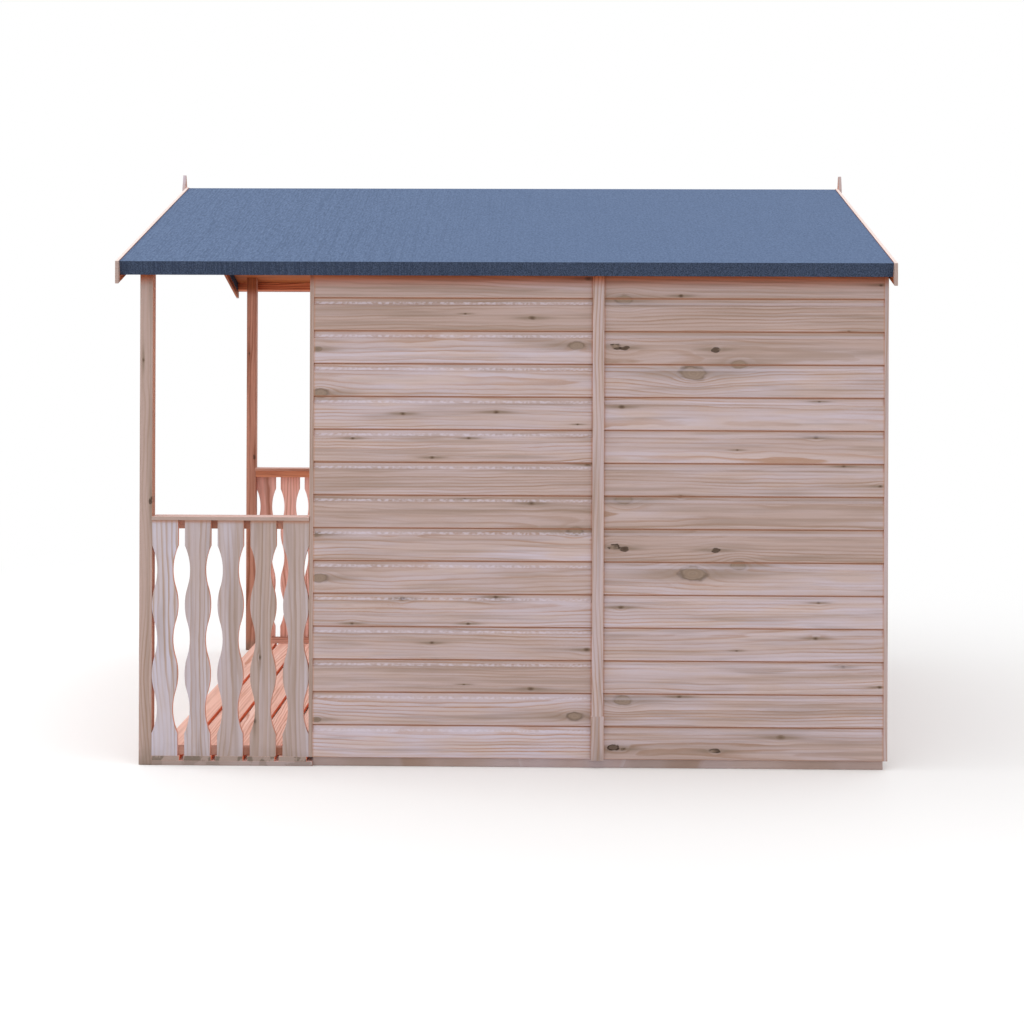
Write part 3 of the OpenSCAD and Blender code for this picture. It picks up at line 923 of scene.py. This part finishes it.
def board_roof(side, material):
    """Matched boards of one slope, V jointed on the underside."""
    node = f"roof_boards_{side}"
    low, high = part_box(node)
    lean = SIDES[side]
    down = down_slope(lean)
    under = Vector((-lean * ROOF_SLOPE, 0, -1)).normalized()
    reach = max(abs(low.x), abs(high.x)) / abs(down.x)
    thickness = (high.z - UNDER_RIDGE) * abs(under.z)
    slope = Boards(Vector((0, low.y, high.z)), Y, down, under, node)
    v = V_JOINT
    foot = -thickness
    while foot < reach:
        width = min(ROOF_BOARD, reach - foot)
        outline = [(0, 0), (width, 0), (width, thickness - v), (width - v, thickness)]
        outline += [(v, thickness), (0, thickness - v)]
        knots = random_knots(slope.chance, ROOF_KNOTS_REACH, width)
        slope.board(outline, 0.0, high.y - low.y, foot, None, knots)
        foot += ROOF_BOARD
    slope.cut(Vector((0, 0, 0)), X * -lean)
    return make_piece(f"matched_roof_{side}", slope.mesh, material, node)


def board_floor(material):
    """Boards of the cabin floor, across its bearers."""
    low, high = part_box("cabin_floor")
    count = round((high.y - low.y) / FLOOR_BOARD)
    width = (high.y - low.y) / count
    floor = Boards(Vector((low.x, low.y, high.z)), X, Y, Z, "floor")
    for n in range(count):
        gap = 0.0 if n == count - 1 else FLOOR_GAP
        knots = random_knots(floor.chance, high.x - low.x, width)
        floor.board(plank(width - gap, high.z - low.z), 0.0, high.x - low.x, n * width, None, knots)
    return make_piece("floor_boarding", floor.mesh, material, "cabin_floor")


def tongued_outline(width):
    """Outline of a board of a door's lower panel, with V joints and a narrow gap."""
    v, gap = V_JOINT, DOOR_GAP / 2
    front, back = -PANEL_SETBACK, -PANEL_SETBACK - PANEL_THICKNESS
    groove = front - V_JOINT - DOOR_GROOVE
    outline = [(0, back + v), (v, back), (width - v, back), (width, back + v), (width, groove)]
    outline += [(width - gap, groove), (width - gap, front - v), (width - gap - v, front)]
    return outline + [(gap + v, front), (gap, front - v), (gap, groove), (0, groove)]


def bar_heights(foot, head):
    """Feet of the two glazing bars that part a glazed opening in three."""
    return [foot + (head - foot) * third / 3 - BAR_WIDTH / 2 for third in (1, 2)]


def join_door(side, material):
    """A door's stiles and rails, the matched boards of its panel, and its bars."""
    node = f"door_{side}"
    low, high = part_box(node)
    pane_low, pane_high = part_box("door_glass")
    glass_foot, glass_head = pane_low.z - low.z, pane_high.z - low.z
    width, height, depth = high.x - low.x, high.z - low.z, high.y - low.y
    inner = width - 2 * STILE
    middle = (width - BAR_WIDTH) / 2
    setback = (depth - BAR_DEPTH) / 2
    bar = [(c, o - setback) for c, o in plank(BAR_WIDTH, BAR_DEPTH, BAR_ARRIS)]
    bead = [(c, o - setback) for c, o in plank(BEAD, BAR_DEPTH, BAR_ARRIS)]

    upright = Boards(low, Z, X, -Y, node)
    chance = upright.chance
    for foot in (0.0, width - STILE):
        knots = random_knots(chance, height, STILE, 0.5)
        upright.board(plank(STILE, depth), 0.0, height, foot, None, knots)
    count = round(inner / DOOR_BOARD)
    board = inner / count
    for n in range(count):
        knots = random_knots(chance, glass_foot, board, 0.8)
        foot = STILE + n * board
        upright.board(tongued_outline(board), BOTTOM_RAIL, glass_foot - LOCK_RAIL, foot, None, knots)
    upright.board(bar, glass_foot, glass_head, middle)
    for foot in (STILE, width - STILE - BEAD):
        upright.board(bead, glass_foot, glass_head, foot)

    level = Boards(low, X, Z, -Y, node + " level")
    rails = [(0.0, BOTTOM_RAIL), (glass_foot - LOCK_RAIL, LOCK_RAIL), (glass_head, height - glass_head)]
    for foot, rail in rails:
        knots = random_knots(chance, inner, rail, 0.5)
        level.board(plank(rail, depth), STILE, width - STILE, foot, None, knots)
    for rise in bar_heights(glass_foot, glass_head):
        luck = chance.random()
        level.board(bar, STILE, middle + ARRIS, rise, luck=luck)
        level.board(bar, middle + BAR_WIDTH - ARRIS, width - STILE, rise, luck=luck)
    for rise in (glass_foot, glass_head - BEAD):
        level.board(bead, STILE, width - STILE, rise)
    level.join(upright.mesh)
    return make_piece(f"door_joinery_{side}", upright.mesh, material, node)


def bar_window(side, material):
    """Glazing bars across a side window, level with those of the doors."""
    low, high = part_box(f"window_frame_{side}")
    pane_low, pane_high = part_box("door_glass")
    left, width = low.x + WINDOW_FRAME, high.x - low.x - 2 * WINDOW_FRAME
    bars = Boards(Vector((left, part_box("window_glass")[0].y, 0.0)), X, Z, -Y, f"bars {side}")
    outline = [(c, o + WINDOW_BAR_DEPTH) for c, o in plank(BAR_WIDTH, WINDOW_BAR_DEPTH, BAR_ARRIS)]
    for rise in bar_heights(pane_low.z, pane_high.z):
        if rise > low.z + WINDOW_FRAME:
            bars.board(outline, 0.0, width, rise)
    return make_piece(f"window_bars_{side}", bars.mesh, material)


def cover_door_gap(material):
    """A strip on the left door, over the gap between the two."""
    low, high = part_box("door_left")
    width, thickness = COVER_STRIP
    corner = Vector((high.x - width * COVER_ON_DOOR, low.y - thickness, low.z))
    strip = Boards(corner, Z, X, -Y, "cover strip")
    strip.board(plank(width, thickness, COVER_ARRIS), COVER_ARRIS, high.z - low.z - COVER_ARRIS)
    return make_piece("door_cover_strip", strip.mesh, material)


# ---- Ironmongery ----


def turned(mesh, centre, axis, profile, steps=20):
    """Turns a profile of (radius, height) points round an axis."""
    first = axis.orthogonal().normalized()
    second = axis.cross(first)
    turns = [2 * math.pi * n / steps for n in range(steps)]
    spokes = [first * math.cos(turn) + second * math.sin(turn) for turn in turns]
    rings = []
    for radius, height in profile:
        middle = centre + axis * height
        ring = spokes if radius else spokes[:1]
        rings.append([mesh.verts.new(middle + spoke * radius) for spoke in ring])
    for near, far in zip(rings, rings[1:]):
        for n in range(steps):
            m = n + 1
            corners = [near[n % len(near)], near[m % len(near)], far[m % len(far)], far[n % len(far)]]
            mesh.faces.new(list(dict.fromkeys(corners)))


def plate(mesh, outline, thickness, back):
    """A flat iron plate with an (x, z) outline, and its back at y = back."""
    rear = [mesh.verts.new((x, back, z)) for x, z in outline]
    front = [mesh.verts.new((x, back - thickness, z)) for x, z in outline]
    for n in range(len(outline)):
        m = (n + 1) % len(outline)
        mesh.faces.new((rear[n], rear[m], front[m], front[n]))
    mesh.faces.new(rear[::-1])
    mesh.faces.new(front)


def arc(x, z, radius, start, end, steps=10):
    """Points of an arc, its angles in degrees."""
    turns = [math.radians(start + (end - start) * n / steps) for n in range(steps + 1)]
    return [(x + radius * math.cos(turn), z + radius * math.sin(turn)) for turn in turns]


def screw(mesh, x, face, z):
    """A domed screw head on a face that looks forward."""
    turned(mesh, Vector((x, face, z)), -Y, SCREW_DOME, SCREW_STEPS)


def strap_hinge(mesh, edge, lean, z, door, surround):
    """A hinge at a door's edge: strap, leaf and knuckle, on two faces at their y."""
    tip = edge - lean * STRAP_LENGTH
    strap = [(edge, z - STRAP_ROOT)]
    strap += [(tip - lean * (x - tip), h) for x, h in arc(tip, z, STRAP_TIP, -90, 90)]
    strap.append((edge, z + STRAP_ROOT))
    plate(mesh, strap, IRON, door)
    leaf = edge + lean * LEAF_GAP
    outer = leaf + lean * LEAF_WIDTH
    half = LEAF_HEIGHT / 2
    corners = [(leaf, z - half), (outer, z - half), (outer, z + half), (leaf, z + half)]
    plate(mesh, corners, IRON, surround)
    pin = Vector((edge + lean * KNUCKLE_OUT, door - KNUCKLE_PROUD, z - KNUCKLE_LENGTH / 2))
    turned(mesh, pin, Z, [(0, 0.0), (KNUCKLE, 0.0), (KNUCKLE, KNUCKLE_LENGTH), (0, KNUCKLE_LENGTH)])
    for reach in STRAP_SCREWS:
        screw(mesh, edge - lean * reach, door - IRON, z)
    for drop in LEAF_SCREWS:
        screw(mesh, leaf + lean * LEAF_WIDTH / 2, surround - IRON, z + drop)


def hang_doors(material):
    """The strap hinges of both doors."""
    mesh = bmesh.new()
    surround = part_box("door_surround")[0].y
    for side, lean in SIDES.items():
        low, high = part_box(f"door_{side}")
        edge = high.x if lean > 0 else low.x
        for rise in HINGE_HEIGHTS:
            strap_hinge(mesh, edge, lean, low.z + rise, low.y, surround)
    return make_piece("door_hinges", mesh, material)


def fit_handle(material):
    """A lever handle on a long plate, with a round key rose below it."""
    mesh = bmesh.new()
    low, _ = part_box("door_right")
    x, z, face = low.x + STILE / 2, low.z + HANDLE_HEIGHT, low.y
    width, height = HANDLE_PLATE
    half, rise = width / 2, height / 2 - width / 2
    outline = arc(x, z + rise, half, 0, 180, PLATE_STEPS)
    outline += arc(x, z - rise, half, 180, 360, PLATE_STEPS)
    plate(mesh, outline, PLATE_IRON, face)
    turned(mesh, Vector((x, face, z + LEVER_UP)), -Y, LEVER_NECK)
    turned(mesh, Vector((x, face - LEVER_REACH + LEVER_SUNK, z + LEVER_UP)), X, LEVER)
    turned(mesh, Vector((x, face, z - KEY_DOWN)), -Y, KEY_ROSE)
    for drop in (rise + half * 0.3, -rise - half * 0.3):
        screw(mesh, x, face - PLATE_IRON, z + drop)
    return make_piece("door_handle", mesh, material)


# ---- Stage ----


def set_floor():
    """A plain pale floor that fades to white where only the view sees it."""
    data = bpy.data.meshes.new("floor")
    corners = [(x * FLOOR_SPAN, y * FLOOR_SPAN, 0) for x, y in ((-1, -1), (1, -1), (1, 1), (-1, 1))]
    data.from_pydata(corners, [], [(0, 1, 2, 3)])
    floor = add_object("studio_floor", data)
    floor.location.z = CAD_BOX[0].z - FLOOR_DROP
    paint = Paint("studio_floor", Base_Color=FLOOR_PALE, Roughness=0.9, Specular_IOR_Level=0.0)
    x, y, _ = paint.parts(paint.place)
    far = paint.maths("SQRT", x * x + y * y).smooth(*FLOOR_FADE)
    seen = paint.node("LightPath", output="Is Camera Ray")
    for ray in ("Is Glossy Ray", "Is Transmission Ray"):
        seen = paint.larger(seen, paint.node("LightPath", output=ray))
    clear = paint.node("Emission", inputs={"Color": WHITE, "Strength": 1.0})
    shaded = Wire(paint, paint.shader.outputs[0])
    mixed = paint.node("MixShader", inputs={0: far * seen, 1: shaded, 2: clear})
    paint.feed(paint.tree.nodes["Material Output"].inputs["Surface"], mixed)
    data.materials.append(paint.material)


def set_lights():
    """Even light from all round and two large soft lamps."""
    world = bpy.data.worlds.new("studio")
    bpy.context.scene.world = world
    world.use_nodes = True
    sky = world.node_tree.nodes["Background"]
    sky.inputs["Color"].default_value = WHITE
    sky.inputs["Strength"].default_value = 1.0
    for name, place, size, power in LAMPS:
        lamp = bpy.data.lights.new(name, "AREA")
        lamp.size = size
        lamp.energy = power
        holder = add_object(name, lamp)
        holder.location = place
        holder.rotation_euler = (LAMP_AIM - place).to_track_quat("-Z", "Y").to_euler()


def set_camera():
    """A level camera that faces the right-hand side."""
    data = bpy.data.cameras.new("view")
    data.sensor_width = SENSOR
    data.lens = LENS
    data.shift_y = VIEW_SHIFT
    data.clip_end = VIEW_END
    camera = add_object("view", data)
    turn, roll = math.radians(VIEW_TURN), math.radians(VIEW_ROLL)
    forward = Vector((-math.cos(turn), -math.sin(turn), 0))
    right = forward.cross(Z)
    across = right * math.cos(roll) + Z * math.sin(roll)
    upward = Z * math.cos(roll) - right * math.sin(roll)
    facing = Matrix((across, upward, -forward)).transposed().to_4x4()
    camera.matrix_world = Matrix.Translation(VIEW_PLACE) @ facing
    bpy.context.scene.camera = camera


# ---- The building ----


def dress_node(name, material):
    """Gives a node of the model its finish."""
    NODES[name].data.materials.clear()
    NODES[name].data.materials.append(material)


def ease_edges(name):
    """Eases the edges of a member."""
    weld = NODES[name].modifiers.new("weld", "WELD")
    weld.merge_threshold = WELD_REACH
    ease = NODES[name].modifiers.new("ease", "BEVEL")
    ease.width = ARRIS
    ease.segments = 2
    ease.limit_method = "ANGLE"
    ease.angle_limit = EASED_ABOVE


def baluster_tones(index):
    """The balusters grow browner towards the cabin, apart from the last one."""
    return index.smooth(-1.0, 3.0) * 0.8 - index.smooth(3.4, 3.9) * 0.3


# What several members share.
# Balusters: painted warm shade on inward faces, painted warm light on faces turned to the cabin.
BALUSTERS = dict(
    tints=BLEACHED, inner=PINK_SHADE, pitch=BALUSTER_PITCH, ring=0.013, wave=0.13,
    glow=(0.5, GLOW), grime=0.25,
)
# Rails take the painted warm shade all over.
RAILS = dict(along=Y, across=X, tints=WARM_SHADE, outward="x", top=None)
BEARERS = dict(along=Y, across=X, under_roof=False, tone=0.7)
# Bargeboards: painted shade on their inward faces, short of their ends, and painted light on their upper
# edges.
BARGEBOARDS = dict(
    outward="y", beyond=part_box("roofing_felt")[1].x - EAVES_END, inner=ROOF_SHADE, top=VERGE_LIGHT,
    under_roof=False, tone=1.0, pith=0.2, ends=0.1,
)

# The model's members, and how each is finished.
MEMBERS = [
    # Posts: painted warm light on the faces turned to the cabin.
    (["veranda_post_right", "veranda_post_left"], dict(
        ring=0.012, pith=0.2, wave=0.12, tone=1.65, knots=POST_KNOTS, glow=(0.5, POST_GLOW), grime=0.6,
    )),
    (["balusters_right"], dict(BALUSTERS, tone=baluster_tones, knots=BALUSTER_KNOTS, shade=0.75)),
    (["balusters_left"], dict(BALUSTERS, tone=-0.25, shade=0.2)),
    (["handrails"], dict(along=Y, across=X, pith=0.2, tone=1.5)),
    # Top rails: a redder painted shade on their inward faces.
    (["top_rails"], dict(RAILS, inner=RED_SHADE, tone=0.9)),
    (["bottom_rails"], dict(RAILS, tone=0.5)),
    (["side_battens", "batten_feet"], dict(
        outward="x", ring=0.013, pith=0.2, wave=0.12, tone=0.55, grime=0.25,
    )),
    (["rear_batten"], dict(outward="y", ring=0.01, pith=0.2, tone=0.6, grime=0.3)),
    (["door_surround"], dict(
        across=X, outward="y", ring=0.01, pith=0.2, tone=0.6, level=(0.0, STRIP),
    )),
    (["corner_strips_front"], dict(pith=0.2, tone=1.6)),
    (["corner_strips_rear"], dict(ring=0.01, pith=0.2, tone=0.4)),
    (["window_frame_right", "window_frame_left"], dict(
        across=X, outward="y", pith=0.2, tone=0.5, level=(WINDOW_FRAME, WINDOW_FRAME),
    )),
    (["finials"], dict(across=X, under_roof=False, tone=0.3)),
    (["bargeboards_right"], dict(BARGEBOARDS, along=down_slope(1))),
    (["bargeboards_left"], dict(BARGEBOARDS, along=down_slope(-1))),
    # Deck boards: painted warm light on their sides that face the cabin.
    (["deck_boards"], dict(
        along=X, pitch=DECK_PITCH, tints=DECKED, inner=None, top=None, under_roof=False,
        ring=0.009, ends=0.93, glow=(0.95, EMBER),
    )),
    (["door_sill"], dict(along=X, across=Z, outward="y", under_roof=False, tone=1.0)),
    (["cabin_bearers"], dict(BEARERS, ring=0.012, pith=0.32, wave=0.06, grime=0.2)),
    (["veranda_bearers"], dict(BEARERS, pith=0.2, ends=0.4, grime=0.15)),
    # Eaves rails and ridge beam, in painted warm shade.
    (["eaves_rails", "ridge_beam"], dict(
        along=Y, across=X, tints=BEAM_SHADE, inner=None, top=None, under_roof=False,
    )),
    # Framing, in painted warm shade.
    (["side_framing_right", "side_framing_left", "rear_framing", "front_framing"], dict(
        tints=WARM_SHADE, inner=None, top=None,
    )),
]

front_boards = side_timber("front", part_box("side_panel_right_front")[0].y, 1.0)
rear_boards = side_timber("rear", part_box("side_panel_right_rear")[1].y, 0.0)
for side in SIDES:
    clad_side(side, "front", front_boards)
    clad_side(side, "rear", rear_boards)
end_boards = board_timber("shiplap_ends", coved=True, under_roof=0.55, dashes=0.3)
for side in SIDES:
    clad_end(f"shiplap_end_{side}", f"rear_panel_{side}", Y, end_boards, side)
clad_end("shiplap_over_doors", "front_gable", -Y, end_boards, "front")
for side in SIDES:
    wall, window = f"front_panel_{side}", f"window_frame_{side}"
    clad_end(f"shiplap_window_wall_{side}", wall, -Y, end_boards, "front", window)

# The roof's underside boards, in painted warm shade.
roof_timber = board_timber("roof_underside", ROOF_SHADE, under_roof=0.0)
door_timber = board_timber("door_timber", under_roof=0.0)
for side in SIDES:
    board_roof(side, roof_timber)
    join_door(side, door_timber)
    bar_window(side, door_timber)
board_floor(board_timber("floor_timber", DECKED, under_roof=0.0))
cover_door_gap(door_timber)
iron = iron_finish("black_iron")
hang_doors(iron)
fit_handle(iron)

for names, settings in MEMBERS:
    for name in names:
        dress_node(name, member_timber(name, **settings))
        ease_edges(name)
dress_node("roofing_felt", felt_finish("mineral_felt"))
dress_node("door_glass", glass_finish("door_panes"))
dress_node("window_glass", glass_finish("window_panes"))

set_floor()
set_lights()
set_camera()
bpy.context.scene.view_settings.view_transform = "Standard"
